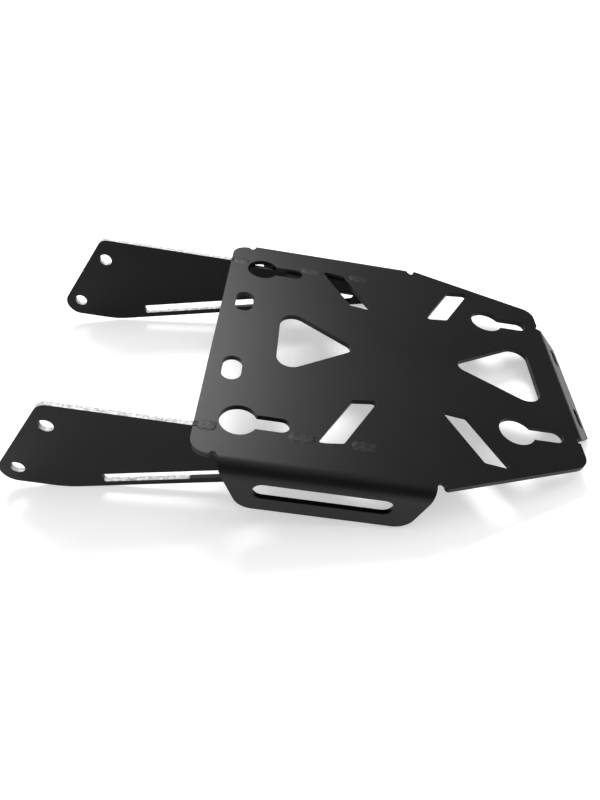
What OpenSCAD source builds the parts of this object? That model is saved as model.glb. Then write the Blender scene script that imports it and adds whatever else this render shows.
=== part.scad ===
// Luggage rack: a folded deck on two flat side plates. The origin is the middle of the deck's upper face.
// In the modules x runs to the rear from the deck's front edge, y to the right and z up from its upper face.

/* [Deck] */
// Length of the flat deck, front edge to rear edge
deck_l = 221; // [200:1:250]
// Half the width of the flat deck, centreline to the side folds
deck_half_w = 100.5; // [94:0.5:120]
// Sheet thickness of the deck
deck_t = 3; // [2:0.5:4]
// Radius of the deck's front corners
front_corner_r = 10; // [4:1:16]
// Where the flared rear panel begins, from the front edge
flare_x = 134.5; // [130:0.5:140]
// How far the rear panel stands out past the side folds at its widest
flare_out = 3; // [0:0.5:5]
// Angle of the rear panel's slanted edges
flare_angle = 19.3; // [12:0.1:21]
// Radius of the rear corners
rear_corner_r = 10; // [4:1:14]
// Radius of the bend relief notches
relief_r = 1.8; // [1:0.1:2.2]

/* [Deck windows] */
// Front side of the front triangular window, from the front edge
front_window_x = 39.5; // [37:0.5:44]
// Length of the front triangular window
front_window_l = 46.2; // [40:0.1:50]
// Rear side of the rear triangular window, from the front edge
rear_window_x = 205.3; // [196:0.5:208]
// Length of the rear triangular window
rear_window_l = 50; // [42:0.1:52]
// Half the height of the triangular windows' broad side
window_half_h = 25.6; // [20:0.1:28]
// Radius of the windows' broad corners
window_r = 9; // [6:0.5:12]
// Radius of the windows' points
window_tip_r = 5.5; // [3:0.5:7]
// Centre of the front slanted windows, from the front edge
front_slat_x = 83.4; // [80:0.1:86]
// Centre of the rear slanted windows, from the front edge
rear_slat_x = 156.4; // [150:0.1:160]
// Distance of the slanted windows' centres from the centreline
slat_y = 64; // [60:0.5:66]
// Length of the slanted windows across the deck
slat_l = 37; // [28:0.5:38]
// Width of the slanted windows along the deck
slat_w = 15.5; // [10:0.5:17]
// Lean of the slanted windows' long sides
slat_angle = 29; // [20:1:33]
// Lean of the slanted windows' short sides
slat_end_angle = 8.5; // [0:0.5:12]
// Radius of the slanted windows' corners
slat_r = 2; // [1:0.5:4]

/* [Keyholes] */
// Radius of a keyhole's round end
key_r = 10.7; // [8:0.1:11]
// Half the width of a keyhole's neck
key_neck_r = 5.1; // [3:0.1:5.2]
// Distance from the round end's centre to the end of the neck
key_l = 28; // [22:0.5:29]
// Front keyholes' round ends, from the front edge
front_key_x = 23.3; // [22:0.1:25]
// Front keyholes' distance from the centreline
front_key_y = 74.4; // [70:0.1:74.5]
// Rear keyholes' round ends, from the front edge
rear_key_x = 183.2; // [178:0.1:188]
// Rear keyholes' distance from the centreline
rear_key_y = 52.8; // [50:0.1:54]
// Centre of the small strap slots, from the front edge
strap_x = 14.5; // [12:0.1:18]
// Distance of the strap slots' centres from the centreline
strap_y = 33.4; // [24:0.1:40]
// Length of the strap slots across the deck
strap_l = 20.4; // [16:0.1:24]
// Width of the strap slots
strap_w = 11.7; // [6:0.1:12.5]

/* [Side wings] */
// Outer radius of the side folds
wing_bend_r = 8; // [6:0.5:10]
// Height of the wings below the deck's upper face
wing_h = 30.8; // [28:0.1:36]
// Where a wing's front edge leaves the deck, from the front edge
wing_front_x = 15.4; // [15:0.1:17]
// Where a wing's rear edge leaves the deck, from the front edge
wing_rear_x = 130.2; // [126:0.1:131]
// Slant of a wing's front edge from upright
wing_front_angle = 24; // [10:1:30]
// Slant of a wing's rear edge from upright
wing_rear_angle = 17; // [5:1:25]
// Radius of a wing's lower corners
wing_corner_r = 11; // [5:0.5:12]
// Front end of the hand slot, from the front edge
hand_slot_x = 35.3; // [34:0.1:42]
// Length of the hand slot
hand_slot_l = 75; // [60:0.5:77]
// Width of the hand slot
hand_slot_w = 11.4; // [8:0.1:12]
// Height of the hand slot's centre below the deck's upper face
hand_slot_z = 15.4; // [15:0.1:17]

/* [Rear lip] */
// Half the length of the rear lip's fold
lip_half_l = 52; // [44:0.5:56]
// Outer radius of the rear fold
lip_bend_r = 4; // [3.5:0.5:6]
// Fall of the lip for each millimetre that it runs to the rear
lip_fall = 0.75; // [0.5:0.05:1]
// Width of the lip beyond its fold
lip_w = 13.1; // [12:0.1:18]
// How much shorter the lip's free edge is at each end
lip_taper = 10; // [4:0.5:14]
// Length of the two holes in the lip
lip_slot_l = 16; // [8:0.5:18]
// Width of the two holes in the lip
lip_slot_w = 5; // [3:0.1:6]
// Distance of the lip holes' centres from the free edge
lip_slot_edge = 5.8; // [5:0.1:6]
// Distance of the lip holes' centres from the centreline
lip_slot_y = 29; // [20:0.5:32]

/* [Side plates] */
// Distance of the side plates' outer faces from the centreline
plate_y = 83; // [83:0.5:88]
// Sheet thickness of the side plates
plate_t = 3; // [2:0.5:4]
// Height of the side plates from the deck's upper face to their lowest edge
plate_h = 67.9; // [64:0.1:80]
// Upper front corner of the left side plate, ahead of the front edge
plate_reach = 80.1; // [76:0.1:100]
// How much further forward the right side plate stands
plate_stagger = 12; // [0:0.5:14]
// Rear end of the left side plate, from the front edge
plate_end_x = 132; // [124:1:134]
// Slant of the side plates' front edge from upright
nose_angle = 28.2; // [20:0.1:34]
// Radius of the upper front corner
nose_top_r = 8; // [4:0.5:10]
// Radius of the lower front corner
nose_low_r = 10; // [6:0.5:14]
// Rise of the lower edge and of the long slot to the rear
rise_angle = 14.7; // [13:0.1:16]
// Where the lower edge would start to rise, ahead of the front edge
knuckle_x = 71.5; // [66:0.5:80]
// Radius of the knuckle at the lower edge
knuckle_r = 60; // [40:1:80]
// Radius at the lower rear end
plate_end_r = 6; // [3:0.5:8]
// Radius of the fixing holes, for M8 bolts
fix_r = 4.3; // [3.3:0.1:5.2]
// Distance between the two fixing holes
fix_pitch = 44.5; // [36:0.5:50]
// Distance from the fixing holes' line to the front edge
fix_edge = 9.6; // [8:0.1:14]
// Depth of the upper fixing hole below the plate's top edge
fix_top = 16.1; // [14:0.1:20]
// Front end of the long slot, ahead of the front edge
long_slot_x = 48.5; // [40:0.5:52]
// Length of the long slot
long_slot_l = 159; // [80:1:160]
// Width of the long slot
long_slot_w = 6.6; // [4:0.1:7]
// Metal between the long slot and the lower edge
long_slot_web = 3.8; // [3:0.1:8]
// Front end of the notch under the front keyhole, from the front edge
notch_x = 12; // [11.5:0.1:14]
// Length of the notch under the front keyhole
notch_l = 26; // [22:0.5:34]
// Depth of the notch below the deck's underside
notch_depth = 8; // [4:0.5:12]
// Radius of the notch's corners
notch_r = 3; // [1:0.5:5]

/* [Tabs and welds] */
// Length of the tabs that stand in the deck
tab_l = 12; // [8:0.5:12.5]
// Length of the front tab, which is open to the front edge
front_tab_l = 11; // [6:0.5:12]
// Middle tab, from the front edge
mid_tab_x = 52; // [51.5:0.1:52.2]
// Rear tab, from the front edge
rear_tab_x = 86.5; // [85.5:0.5:92]
// Clearance around a tab in its slot
tab_clear = 0.2; // [0.1:0.05:0.4]
// Leg of the weld beads under the deck
bead_leg = 3; // [2:0.25:4]
// Length of each weld bead
bead_l = 16; // [8:0.5:18]
// Gap from one weld bead to the next
bead_gap = 36; // [32:0.5:44]
// Front end of the first weld bead, from the front edge
bead_x = 40; // [38.5:0.5:44]

/* [Hidden] */
$fn = 72;
black = [0.13, 0.13, 0.135];
bead_grey = [0.17, 0.17, 0.175];
over = 1;
// Arcs stand this much proud of the straight edges they run into, so that the two cross
proud = 0.002;
// Metal left between a bend relief and the fold beside it
relief_gap = 0.5;
bead_count = 2;

// Knuckle of a side plate's lower edge, an arc from level to the slope of the rise
knuckle_c = [-knuckle_x - knuckle_r * tan(rise_angle / 2), -plate_h + knuckle_r];
knuckle_steps = 6;
knuckle = [for (k = [0 : knuckle_steps])
    knuckle_c + knuckle_r * [sin(rise_angle * k / knuckle_steps), -cos(rise_angle * k / knuckle_steps)]];

// Corner places of a side plate, as seen from the left, x to the rear and z up
nose_low_x = -plate_reach - plate_h * tan(nose_angle);
plate_end_z = -plate_h + (plate_end_x + knuckle_x) * tan(rise_angle);
plate_corners = concat(
    [[-plate_reach, 0], [nose_low_x, -plate_h]], knuckle, [[plate_end_x, plate_end_z], [plate_end_x, 0]]);
plate_radii = concat([nose_top_r, nose_low_r], [for (k = knuckle) 0], [plate_end_r, 0]);

lip_angle = atan(lip_fall);

// Corner places of a wing's lower edge
wing_front_low = wing_front_x + wing_h * tan(wing_front_angle);
wing_rear_low = wing_rear_x - wing_h * tan(wing_rear_angle);

// Turn of a closed outline at corner i, and its two tangent points
function unit(v) = v / norm(v);
function ahead(p, i) = unit(p[(i + 1) % len(p)] - p[i]);
function back(p, i) = unit(p[(i + len(p) - 1) % len(p)] - p[i]);
function half_angle(p, i) = acos(ahead(p, i) * back(p, i)) / 2;
function tangent_l(p, r, i) = r[i] / tan(half_angle(p, i));
function arc_centre(p, r, i) = p[i] + unit(ahead(p, i) + back(p, i)) * r[i] / sin(half_angle(p, i));

// Convex outline with a true arc of radius r[i] at each corner p[i]
module rounded(p, r) {
    polygon([for (i = [0 : len(p) - 1]) each r[i] > 0
        ? [p[i] + back(p, i) * tangent_l(p, r, i), p[i] + ahead(p, i) * tangent_l(p, r, i)]
        : [p[i]]]);
    for (i = [0 : len(p) - 1])
        if (r[i] > 0)
            translate(arc_centre(p, r, i)) circle(r[i] + proud);
}

// Slot with round ends, from the origin along x
module obround(l, w) {
    translate([w / 2, 0]) circle(w / 2 + proud);
    translate([l - w / 2, 0]) circle(w / 2 + proud);
    translate([w / 2, -w / 2]) square([l - w, w]);
}

// What is drawn for the left half and for the right half
module both_sides() {
    children();
    mirror([0, 1]) children();
}

// Moves a module's own frame to the rack's frame
module centred() {
    translate([-deck_l / 2, 0, 0]) children();
}

// Draws a side view, x to the rear and z up, as a sheet from y to y + t
module upright(y, t) {
    translate([0, y + t, 0]) rotate([90, 0, 0]) linear_extrude(t) children();
}

module keyhole() {
    circle(key_r);
    translate([0, -key_neck_r]) square([key_l - key_neck_r, 2 * key_neck_r]);
    translate([key_l - key_neck_r, 0]) circle(key_neck_r + proud);
}

// Triangular window with its broad side at x = 0 and its point at x = l
module window(l) {
    lean = atan((window_half_h - window_r) / (l - window_r - window_tip_r))
        + asin((window_r - window_tip_r) / norm([window_half_h - window_r, l - window_r - window_tip_r]));
    broad = [window_r, window_half_h - window_r];
    tip = [l - window_tip_r, 0];
    side = [sin(lean), cos(lean)];
    translate([broad[0], -broad[1]]) circle(window_r + proud);
    translate(broad) circle(window_r + proud);
    translate(tip) circle(window_tip_r + proud);
    polygon([
        [0, -broad[1]], [0, broad[1]], broad + window_r * side, tip + window_tip_r * side,
        [tip[0] + window_tip_r * side[0], -window_tip_r * side[1]],
        [broad[0] + window_r * side[0], -broad[1] - window_r * side[1]]]);
}

// Slanted window about its own centre, leaning to the front as it goes outwards
module slat() {
    shift = slat_l / 2 * tan(slat_angle);
    rise = slat_w / 2 * tan(slat_end_angle);
    outline = [
        [shift - slat_w / 2, -slat_l / 2 + rise], [shift + slat_w / 2, -slat_l / 2 - rise],
        [-shift + slat_w / 2, slat_l / 2 - rise], [-shift - slat_w / 2, slat_l / 2 + rise]];
    rounded(outline, [slat_r, slat_r, slat_r, slat_r]);
}

module deck_outline() {
    rear_half_w = deck_half_w + flare_out - (deck_l - flare_x) * tan(flare_angle);
    rounded([[0, -deck_half_w], [flare_x + over, -deck_half_w], [flare_x + over, deck_half_w], [0, deck_half_w]],
        [front_corner_r, 0, 0, front_corner_r]);
    rounded([
        [flare_x, -deck_half_w - flare_out], [deck_l, -rear_half_w],
        [deck_l, rear_half_w], [flare_x, deck_half_w + flare_out]],
        [relief_r, rear_corner_r, rear_corner_r, relief_r]);
}

module deck_cuts() {
    translate([front_window_x, 0]) window(front_window_l);
    translate([rear_window_x, 0]) mirror([1, 0]) window(rear_window_l);
    both_sides() {
        translate([front_key_x, front_key_y]) keyhole();
        translate([rear_key_x, rear_key_y]) keyhole();
        translate([front_slat_x, slat_y]) slat();
        translate([rear_slat_x, slat_y]) mirror([1, 0]) slat();
        translate([strap_x, strap_y - strap_l / 2]) rotate(90) obround(strap_l, strap_w);
        translate([wing_front_x - relief_gap - relief_r, deck_half_w]) circle(relief_r);
        translate([flare_x - relief_r, deck_half_w]) circle(relief_r + proud);
        translate([flare_x - 2 * relief_r, deck_half_w]) square([2 * relief_r, flare_out + over]);
        translate([deck_l, lip_half_l + relief_gap + relief_r]) circle(relief_r);
        tab_slots();
    }
}

// Slots that the side plates' tabs stand in; the front one is open to the front edge
module tab_slots() {
    w = plate_t + 2 * tab_clear;
    translate([-over, plate_y - plate_t - tab_clear]) square([over + front_tab_l + tab_clear, w]);
    for (x = [mid_tab_x, rear_tab_x])
        translate([x - tab_clear, plate_y - plate_t - tab_clear]) square([tab_l + 2 * tab_clear, w]);
}

// Section of a fold of radius r through an angle, followed by a flat of length l
module fold_section(r, angle, l) {
    reach = 3 * r;
    translate([0, -r]) intersection() {
        difference() {
            circle(r);
            circle(r - deck_t);
        }
        polygon([
            [0, 0], [0, reach], [reach * sin(angle / 2), reach * cos(angle / 2)],
            [reach * sin(angle), reach * cos(angle)]]);
    }
    translate([0, -r]) rotate(90 - angle) translate([r - deck_t, -l]) square([deck_t, l]);
}

module wing_outline() {
    rounded([
        [wing_front_x, 0], [wing_front_low, -wing_h], [wing_rear_low, -wing_h], [wing_rear_x, 0]],
        [0, wing_corner_r, wing_corner_r, 0]);
}

// Side fold and wing on the right, the fold's section cut to the wing's own outline
module wing() {
    intersection() {
        translate([0, deck_half_w, 0]) rotate([90, 0, 90]) linear_extrude(deck_l)
            fold_section(wing_bend_r, 90, wing_h);
        difference() {
            upright(deck_half_w - over, wing_bend_r + 2 * over) wing_outline();
            upright(deck_half_w, wing_bend_r + 2 * over)
                translate([hand_slot_x, -hand_slot_z]) obround(hand_slot_l, hand_slot_w);
        }
    }
}

// Rear fold and lip, with slanted ends and two holes, in the plane of the lip
module lip() {
    difference() {
        translate([deck_l, lip_half_l, 0]) rotate([90, 0, 0]) linear_extrude(2 * lip_half_l)
            fold_section(lip_bend_r, lip_angle, lip_w);
        translate([deck_l, 0, -lip_bend_r]) rotate([0, lip_angle, 0]) {
            for (s = [-1, 1])
                translate([lip_w - lip_slot_edge, s * lip_slot_y - lip_slot_l / 2, 0]) rotate([0, 0, 90])
                    linear_extrude(2 * lip_bend_r) obround(lip_slot_l, lip_slot_w);
            for (s = [0, 1])
                mirror([0, s, 0]) translate([0, lip_half_l, 0]) linear_extrude(2 * lip_bend_r)
                    polygon([[0, 0], [lip_w + over, -lip_taper * (lip_w + over) / lip_w],
                        [lip_w + over, over], [0, over]]);
        }
    }
}

// Deck, wings and rear lip, folded from one sheet
module top_plate() {
    color(black) centred() {
        translate([0, 0, -deck_t]) linear_extrude(deck_t) difference() {
            deck_outline();
            deck_cuts();
        }
        wing();
        mirror([0, 1, 0]) wing();
        lip();
    }
}

// Side view of a side plate; shift moves all but its tabs and its notch, which only the left one has
module plate_outline(shift, notched) {
    fix_foot = [-plate_reach + fix_edge / cos(nose_angle) - fix_top * tan(nose_angle), -fix_top];
    web_z = long_slot_web + long_slot_w / 2;
    difference() {
        translate([shift, 0]) difference() {
            rounded(plate_corners, plate_radii);
            for (s = [0, fix_pitch])
                translate(fix_foot - s * [sin(nose_angle), cos(nose_angle)]) circle(fix_r);
            translate([-knuckle_x, -plate_h]) rotate(rise_angle)
                translate([(knuckle_x - long_slot_x) / cos(rise_angle), web_z]) long_slot();
        }
        translate([0, -deck_t]) square([plate_end_x + over, deck_t + over]);
        if (notched)
            translate([notch_x, -deck_t - notch_depth]) notch();
    }
    translate([0, -deck_t]) square([front_tab_l, deck_t]);
    for (x = [mid_tab_x, rear_tab_x])
        translate([x, -deck_t]) square([tab_l, deck_t]);
}

// Notch with two round lower corners, open at the top
module notch() {
    top = notch_depth + over;
    rounded([[0, 0], [notch_l, 0], [notch_l, top], [0, top]], [notch_r, notch_r, 0, 0]);
}

// Long slot with a square front end and a round rear end
module long_slot() {
    corner = long_slot_w / 4;
    rounded([
        [0, long_slot_w / 2], [0, -long_slot_w / 2],
        [long_slot_l - long_slot_w / 2, -long_slot_w / 2], [long_slot_l - long_slot_w / 2, long_slot_w / 2]],
        [corner, corner, 0, 0]);
    translate([long_slot_l - long_slot_w / 2, 0]) circle(long_slot_w / 2 + proud);
}

module left_side_plate() {
    color(black) centred() upright(-plate_y, plate_t) plate_outline(0, true);
}

module right_side_plate() {
    color(black) centred() upright(plate_y - plate_t, plate_t) plate_outline(-plate_stagger, false);
}

// Beads in the inner corner between the right side plate and the deck's underside
module beads() {
    for (i = [0 : bead_count - 1])
        translate([bead_x + i * (bead_l + bead_gap), plate_y - plate_t, -deck_t])
            intersection() {
                rotate([0, 90, 0]) cylinder(h = bead_l, r = bead_leg);
                translate([0, -bead_leg, -bead_leg]) cube([bead_l, bead_leg, bead_leg]);
            }
}

module left_weld_beads() {
    color(bead_grey) centred() mirror([0, 1, 0]) beads();
}

module right_weld_beads() {
    color(bead_grey) centred() beads();
}

top_plate();
left_side_plate();
right_side_plate();
left_weld_beads();
right_weld_beads();
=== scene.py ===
import math

import bpy
import numpy as np
from mathutils import Matrix, Vector


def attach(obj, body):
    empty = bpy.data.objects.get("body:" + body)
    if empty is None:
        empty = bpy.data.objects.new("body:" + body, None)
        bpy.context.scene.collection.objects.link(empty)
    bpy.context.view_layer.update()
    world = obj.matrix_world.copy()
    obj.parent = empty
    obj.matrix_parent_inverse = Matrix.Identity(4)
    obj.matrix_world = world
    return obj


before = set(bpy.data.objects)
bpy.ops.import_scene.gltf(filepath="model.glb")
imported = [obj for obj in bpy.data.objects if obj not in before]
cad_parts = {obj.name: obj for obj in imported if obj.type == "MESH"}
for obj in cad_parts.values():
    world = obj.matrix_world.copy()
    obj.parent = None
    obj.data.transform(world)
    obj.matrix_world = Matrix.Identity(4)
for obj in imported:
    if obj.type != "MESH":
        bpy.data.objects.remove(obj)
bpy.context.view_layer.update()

white = (1.0, 1.0, 1.0, 1.0)

# angles in degrees, lens and sensor in millimetres, lengths in metres
cameraSpec = {
    "azimuth": -5.722,
    "elevation": 43.723,
    "roll": 12.012,
    "place": (-0.080176, -0.304897, 0.242441),
    "lens": 27.912,
    "sensor": 36.0,
    "near": 0.01,
    "far": 50.0,
}

# the rack leans on its knuckles and on the free edge of its rear lip
floorSpec = {
    "touch": (-0.17879, 0.0, -0.06693),
    "tilt": 10.53,
    "half": 12.0,
    "colour": (0.80, 0.80, 0.80, 1.0),
    "rough": 0.9,
    "specular": 0.1,
    "lift": 0.45,
}

worldSpec = {
    "light": (0.60, 0.60, 0.60, 1.0),
    "gloss": (0.15, 0.15, 0.15, 1.0),
    "strength": 1.0,
}

lampSpecs = [
    {
        "name": "window",
        "place": (-0.66, 1.56, 1.72),
        "aim": (-0.11, 0.0, 0.0),
        "size": (0.9, 0.9),
        "power": 54.0,
    },
    {
        "name": "ceiling",
        "place": (0.1, 0.2, 2.4),
        "aim": (0.0, 0.0, 0.0),
        "size": (1.8, 1.8),
        "power": 8.0,
    },
]


# right = level right turned by the roll, up = square to it, looking down at the elevation
def addCamera(spec):
    azimuth = math.radians(spec["azimuth"])
    elevation = math.radians(spec["elevation"])
    roll = math.radians(spec["roll"])
    back = Vector((
        math.sin(azimuth) * math.cos(elevation),
        -math.cos(azimuth) * math.cos(elevation),
        math.sin(elevation),
    ))
    level = Vector((math.cos(azimuth), math.sin(azimuth), 0.0))
    upright = level.cross(-back)
    right = level * math.cos(roll) + upright * math.sin(roll)
    up = -level * math.sin(roll) + upright * math.cos(roll)
    turn = Matrix((right, up, back)).transposed().to_4x4()
    data = bpy.data.cameras.new("camera")
    data.lens = spec["lens"]
    data.sensor_width = spec["sensor"]
    data.sensor_fit = "AUTO"
    data.clip_start = spec["near"]
    data.clip_end = spec["far"]
    camera = bpy.data.objects.new("camera", data)
    camera.matrix_world = Matrix.Translation(Vector(spec["place"])) @ turn
    bpy.context.scene.collection.objects.link(camera)
    bpy.context.scene.camera = camera


# one mesh from arrays of points and of four-cornered faces
def meshObject(name, verts, faces, smooth=True):
    mesh = bpy.data.meshes.new(name)
    mesh.vertices.add(len(verts))
    mesh.vertices.foreach_set("co", np.asarray(verts, np.float32).ravel())
    mesh.loops.add(faces.size)
    mesh.loops.foreach_set("vertex_index", np.asarray(faces, np.int32).ravel())
    mesh.polygons.add(len(faces))
    mesh.polygons.foreach_set("loop_start", np.arange(0, faces.size, 4, dtype=np.int32))
    mesh.polygons.foreach_set("use_smooth", np.full(len(faces), smooth))
    mesh.update(calc_edges=True)
    thing = bpy.data.objects.new(name, mesh)
    bpy.context.scene.collection.objects.link(thing)
    return thing


# puts a number or a colour on a socket, or links another node's output to it
def feed(tree, socket, value):
    if isinstance(value, (int, float, tuple)):
        socket.default_value = value
    else:
        tree.links.new(value, socket)


# noise of a (scale, detail, roughness) over the given coordinates
def noise(tree, coords, grain):
    made = tree.nodes.new("ShaderNodeTexNoise")
    for socket, value in zip(("Scale", "Detail", "Roughness"), grain):
        made.inputs[socket].default_value = value
    tree.links.new(coords, made.inputs["Vector"])
    return made.outputs["Fac"]


# straight blend from the first (place, grey or colour) to the second
def ramp(tree, value, first, second):
    made = tree.nodes.new("ShaderNodeValToRGB")
    for element, (place, colour) in zip(made.color_ramp.elements, (first, second)):
        element.position = place
        shade = colour if isinstance(colour, tuple) else (colour, colour, colour)
        element.color = (*shade, 1.0)
    tree.links.new(value, made.inputs["Fac"])
    return made.outputs["Color"]


# first x (1 - factor) + second x factor, or their product when blend says so
def mixColour(tree, factor, first, second, blend="MIX"):
    made = tree.nodes.new("ShaderNodeMix")
    made.data_type = "RGBA"
    made.blend_type = blend
    # the node keeps its colour sockets behind those for numbers and vectors
    factorSocket, firstSocket, secondSocket, colourResult = 0, 6, 7, 2
    feed(tree, made.inputs[factorSocket], factor)
    feed(tree, made.inputs[firstSocket], first)
    feed(tree, made.inputs[secondSocket], second)
    return made.outputs[colourResult]


# one arithmetic node over its values in order
def calculate(tree, operation, *values, clamp=False):
    made = tree.nodes.new("ShaderNodeMath")
    made.operation = operation
    made.use_clamp = clamp
    for socket, value in zip(made.inputs, values):
        feed(tree, socket, value)
    return made.outputs[0]


# noise drawn out along one direction, only its thin crests kept, and these only in patches
def addScratches(tree, coords, colour, spec):
    stretch = tree.nodes.new("ShaderNodeMapping")
    stretch.inputs["Rotation"].default_value = spec["scratchTurn"]
    stretch.inputs["Scale"].default_value = spec["scratchStretch"]
    tree.links.new(coords, stretch.inputs["Vector"])
    lines = noise(tree, stretch.outputs["Vector"], spec["scratchGrain"])
    crestFrom, crestTo = spec["crest"]
    scratch = ramp(tree, lines, (crestFrom, 0.0), (crestTo, 1.0))
    patchFrom, patchTo = spec["patch"]
    patch = ramp(tree, noise(tree, coords, spec["patchGrain"]), (patchFrom, 0.0), (patchTo, 1.0))
    scratch = mixColour(tree, 1.0, scratch, patch, "MULTIPLY")
    amount = calculate(tree, "MULTIPLY", scratch, spec["scratch"])
    return mixColour(tree, amount, colour, spec["scratchColour"])


# painted highlight on cut edges that look up, only ahead of the deck where the deck doesn't shade
# them: amount = edges x (upward look - from) x gain x mottle
def addEdgeHighlight(tree, coords, colour, spec):
    normal = tree.nodes.new("ShaderNodeNewGeometry").outputs["True Normal"]
    look = tree.nodes.new("ShaderNodeSeparateXYZ")
    tree.links.new(normal, look.inputs[0])
    place = tree.nodes.new("ShaderNodeSeparateXYZ")
    tree.links.new(coords, place.inputs[0])
    upward = calculate(tree, "SUBTRACT", look.outputs["Z"], spec["edgeFrom"])
    upward = calculate(tree, "MULTIPLY", upward, spec["edgeGain"], clamp=True)
    ahead = calculate(tree, "LESS_THAN", place.outputs["X"], spec["edgesAhead"])
    upward = calculate(tree, "MULTIPLY", upward, ahead)
    low, high = spec["mottle"]
    mottle = ramp(tree, noise(tree, coords, spec["mottleGrain"]), low, high)
    amount = calculate(tree, "MULTIPLY", upward, mottle)
    amount = calculate(tree, "MULTIPLY", amount, spec["edges"])
    return mixColour(tree, amount, colour, spec["edgeHighlightColour"])


# rounded edges under a fine orange peel: height = peel noise + gritShare x grit noise
def surfaceNormal(tree, coords, grit, spec):
    softEdge = tree.nodes.new("ShaderNodeBevel")
    softEdge.samples = spec["edgeSamples"]
    softEdge.inputs["Radius"].default_value = spec["edgeRadius"]
    peel = tree.nodes.new("ShaderNodeBump")
    peel.inputs["Strength"].default_value = spec["bump"]
    peel.inputs["Distance"].default_value = spec["bumpDepth"]
    gritHeight = calculate(tree, "MULTIPLY", grit, spec["gritShare"])
    height = calculate(tree, "ADD", noise(tree, coords, spec["peelGrain"]), gritHeight)
    tree.links.new(height, peel.inputs["Height"])
    tree.links.new(softEdge.outputs["Normal"], peel.inputs["Normal"])
    return peel.outputs["Normal"]


# satin powder coat: tone drifts from dark to light, roughness = rough + roughSpread x grit noise
def coatMaterial(name, spec):
    material = bpy.data.materials.new(name)
    material.use_nodes = True
    tree = material.node_tree
    shader = tree.nodes["Principled BSDF"]
    coords = tree.nodes.new("ShaderNodeTexCoord").outputs["Object"]
    grit = noise(tree, coords, spec["gritGrain"])
    driftFrom, driftTo = spec["drift"]
    drift = noise(tree, coords, spec["driftGrain"])
    colour = ramp(tree, drift, (driftFrom, spec["dark"]), (driftTo, spec["light"]))
    colour = addScratches(tree, coords, colour, spec)
    # painted highlight, mottled, on the cut edges that face up towards the lamps, where edges is
    # above zero
    if spec["edges"]:
        colour = addEdgeHighlight(tree, coords, colour, spec)
    tree.links.new(colour, shader.inputs["Base Color"])
    roughness = calculate(tree, "MULTIPLY_ADD", grit, spec["roughSpread"], spec["rough"])
    tree.links.new(roughness, shader.inputs["Roughness"])
    shader.inputs["Specular IOR Level"].default_value = spec["specular"]
    tree.links.new(surfaceNormal(tree, coords, grit, spec), shader.inputs["Normal"])
    return material


def dress(thing, material):
    thing.data.materials.clear()
    thing.data.materials.append(material)


# corner = touch + half x (-1 or 1 along the tilted x axis) + half x (-1 or 1 along y)
def addFloor(spec):
    tilt = math.radians(spec["tilt"])
    along = np.array([math.cos(tilt), 0.0, math.sin(tilt)])
    across = np.array([0.0, 1.0, 0.0])
    corners = np.array([[-1, -1], [1, -1], [1, 1], [-1, 1]], float) * spec["half"]
    verts = np.array(spec["touch"]) + corners[:, :1] * along + corners[:, 1:] * across
    floor = meshObject("floor", verts, np.array([[0, 1, 2, 3]]), False)
    material = bpy.data.materials.new("floor")
    material.use_nodes = True
    tree = material.node_tree
    shader = tree.nodes["Principled BSDF"]
    shader.inputs["Base Color"].default_value = spec["colour"]
    shader.inputs["Roughness"].default_value = spec["rough"]
    shader.inputs["Specular IOR Level"].default_value = spec["specular"]
    # lifted to white where it is seen, directly or in a reflection, with the rack's shadow kept
    path = tree.nodes.new("ShaderNodeLightPath")
    seen = calculate(tree, "MAXIMUM", path.outputs["Is Camera Ray"], path.outputs["Is Glossy Ray"])
    seen = calculate(tree, "MAXIMUM", seen, path.outputs["Is Transmission Ray"])
    shader.inputs["Emission Color"].default_value = white
    lift = calculate(tree, "MULTIPLY", seen, spec["lift"])
    tree.links.new(lift, shader.inputs["Emission Strength"])
    dress(floor, material)


# a soft box at place that faces aim
def addLamp(spec):
    data = bpy.data.lights.new(spec["name"], "AREA")
    data.shape = "RECTANGLE"
    data.size, data.size_y = spec["size"]
    data.energy = spec["power"]
    lamp = bpy.data.objects.new(spec["name"], data)
    direction = Vector(spec["aim"]) - Vector(spec["place"])
    lamp.rotation_euler = direction.to_track_quat("-Z", "Y").to_euler()
    lamp.location = spec["place"]
    bpy.context.scene.collection.objects.link(lamp)


# white to the camera, dark grey in reflections, mid grey as light
def setWorld(spec):
    world = bpy.data.worlds.new("studio")
    bpy.context.scene.world = world
    world.use_nodes = True
    tree = world.node_tree
    back = tree.nodes["Background"]
    path = tree.nodes.new("ShaderNodeLightPath")
    seen = calculate(
        tree, "MAXIMUM", path.outputs["Is Camera Ray"], path.outputs["Is Transmission Ray"]
    )
    shown = mixColour(tree, path.outputs["Is Glossy Ray"], spec["light"], spec["gloss"])
    shown = mixColour(tree, seen, shown, white)
    tree.links.new(shown, back.inputs["Color"])
    back.inputs["Strength"].default_value = spec["strength"]


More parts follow.
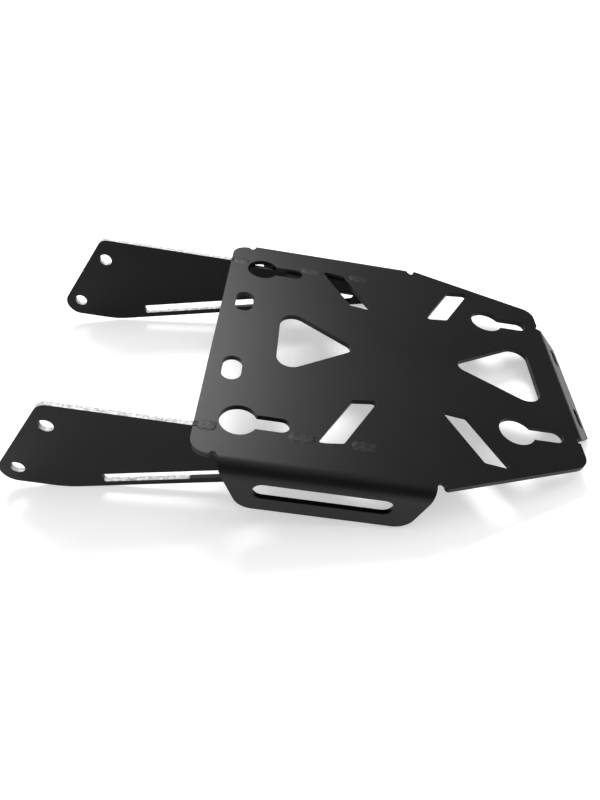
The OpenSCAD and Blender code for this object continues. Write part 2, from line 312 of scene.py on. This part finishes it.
# a grain is (scale, detail, roughness); edgesAhead is just in front of the deck's front edge
coatSpec = {
    "dark": (0.0042, 0.0042, 0.0045),
    "light": (0.0072, 0.0072, 0.0075),
    "drift": (0.3, 0.7),
    "driftGrain": (14.0, 3.0, 0.6),
    "gritGrain": (900.0, 5.0, 0.7),
    "gritShare": 0.4,
    "peelGrain": (520.0, 4.0, 0.6),
    "bump": 0.16,
    "bumpDepth": 0.0002,
    "rough": 0.34,
    "roughSpread": 0.14,
    "specular": 0.22,
    "scratch": 0.35,
    "scratchColour": (0.10, 0.10, 0.10, 1.0),
    "scratchTurn": (0.0, 0.0, 0.6),
    "scratchStretch": (60.0, 900.0, 300.0),
    "scratchGrain": (1.0, 2.0, 0.5),
    "crest": (0.74, 0.80),
    "patch": (0.55, 0.7),
    "patchGrain": (22.0, 2.0, 0.6),
    # edges sets the strength of a painted highlight on upward-facing cut edges; the deck gets none
    "edges": 0.0,
    "edgeHighlightColour": (0.90, 0.90, 0.89, 1.0),
    "edgeFrom": 0.25,
    "edgeGain": 6.0,
    "edgesAhead": -0.1108,
    "edgeRadius": 0.0005,
    "edgeSamples": 4,
    "mottle": ((0.38, 0.25), (0.62, 1.0)),
    "mottleGrain": (420.0, 6.0, 0.8),
}
# the side plates' coat carries the painted highlight on their upward-facing cut edges
bracketSpec = dict(coatSpec, edges=0.95, specular=0.13)
weldSpec = dict(
    coatSpec,
    light=(0.02, 0.02, 0.02),
    driftGrain=(320.0, 3.0, 0.6),
    peelGrain=(900.0, 4.0, 0.6),
    bump=0.3,
    roughSpread=0.2,
    scratch=0.6,
)

bpy.context.scene.view_settings.view_transform = "Standard"
setWorld(worldSpec)
addCamera(cameraSpec)
addFloor(floorSpec)
print("stage set")

coat = coatMaterial("coat", coatSpec)
bracket = coatMaterial("bracketCoat", bracketSpec)
weld = coatMaterial("weldCoat", weldSpec)
dress(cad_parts["top_plate"], coat)
for side in ("left", "right"):
    dress(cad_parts[side + "_side_plate"], bracket)
    dress(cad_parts[side + "_weld_beads"], weld)
print("CAD nodes dressed")

# metres; each weld runs between two distances behind the deck's front edge
# a wave is (size, turns along u, turns across v, shift for each weld)
plugSpec = {
    "frontEdge": 0.1105,
    "line": 0.0815,
    "half": 0.0036,
    "rise": 0.00032,
    "sink": 0.00004,
    "ends": [(0.0020, 0.0125), (0.0505, 0.0655), (0.0850, 0.1000)],
    "steps": (96, 28),
    "level": 0.72,
    "waves": [(0.06, 9.0, 5.0, 1.0), (0.06, -5.0, 7.0, 0.0)],
    "ragged": [(0.10, 9.0, 0.0, 1.0), (0.06, 23.0, 0.0, 2.0)],
    "slant": [(0.0002, 0.0, 7.0, 1.0)],
}


# base + the sum of size x sin(along x u + across x v + shift x index)
def ripple(base, waves, u, v, index):
    total = base
    for size, along, across, shift in waves:
        total = total + size * np.sin(along * u + across * v + shift * index)
    return total


# u runs along a weld and v across it, from -1 to 1
# height = rise x (1 - u^6) x (1 - v^4) x waves - sink, half width = half x ragged x root(1 - |u|^5)
def plugCaps(name, side, spec):
    alongCount, acrossCount = spec["steps"]
    u, v = np.meshgrid(
        np.linspace(-1.0, 1.0, alongCount), np.linspace(-1.0, 1.0, acrossCount), indexing="ij"
    )
    taper = np.sqrt(np.clip(1.0 - np.abs(u) ** 5, 0.0, 1.0))
    corner = (
        np.arange(alongCount - 1)[:, None] * acrossCount + np.arange(acrossCount - 1)[None, :]
    ).ravel()
    quads = np.stack([corner, corner + acrossCount, corner + acrossCount + 1, corner + 1], 1)
    if side < 0:
        quads = quads[:, ::-1]
    verts, faces = [], []
    for index, (start, end) in enumerate(spec["ends"]):
        middle, reach = (start + end) / 2, (end - start) / 2
        x = middle + reach * u + ripple(0.0, spec["slant"], u, v, index) - spec["frontEdge"]
        ragged = ripple(1.0, spec["ragged"], u, v, index)
        y = side * (spec["line"] + spec["half"] * v * ragged * taper)
        wave = ripple(spec["level"], spec["waves"], u, v, index)
        height = spec["rise"] * (1.0 - u ** 6) * (1.0 - v ** 4) * wave - spec["sink"]
        verts.append(np.stack([x, y, height], -1).reshape(-1, 3))
        faces.append(quads + index * alongCount * acrossCount)
    caps = meshObject(name, np.concatenate(verts), np.concatenate(faces))
    dress(caps, weld)
    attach(caps, "root")


plugCaps("left_plug_welds", -1.0, plugSpec)
plugCaps("right_plug_welds", 1.0, plugSpec)
print("plug welds made")

for lampSpec in lampSpecs:
    addLamp(lampSpec)
print("lamps set")
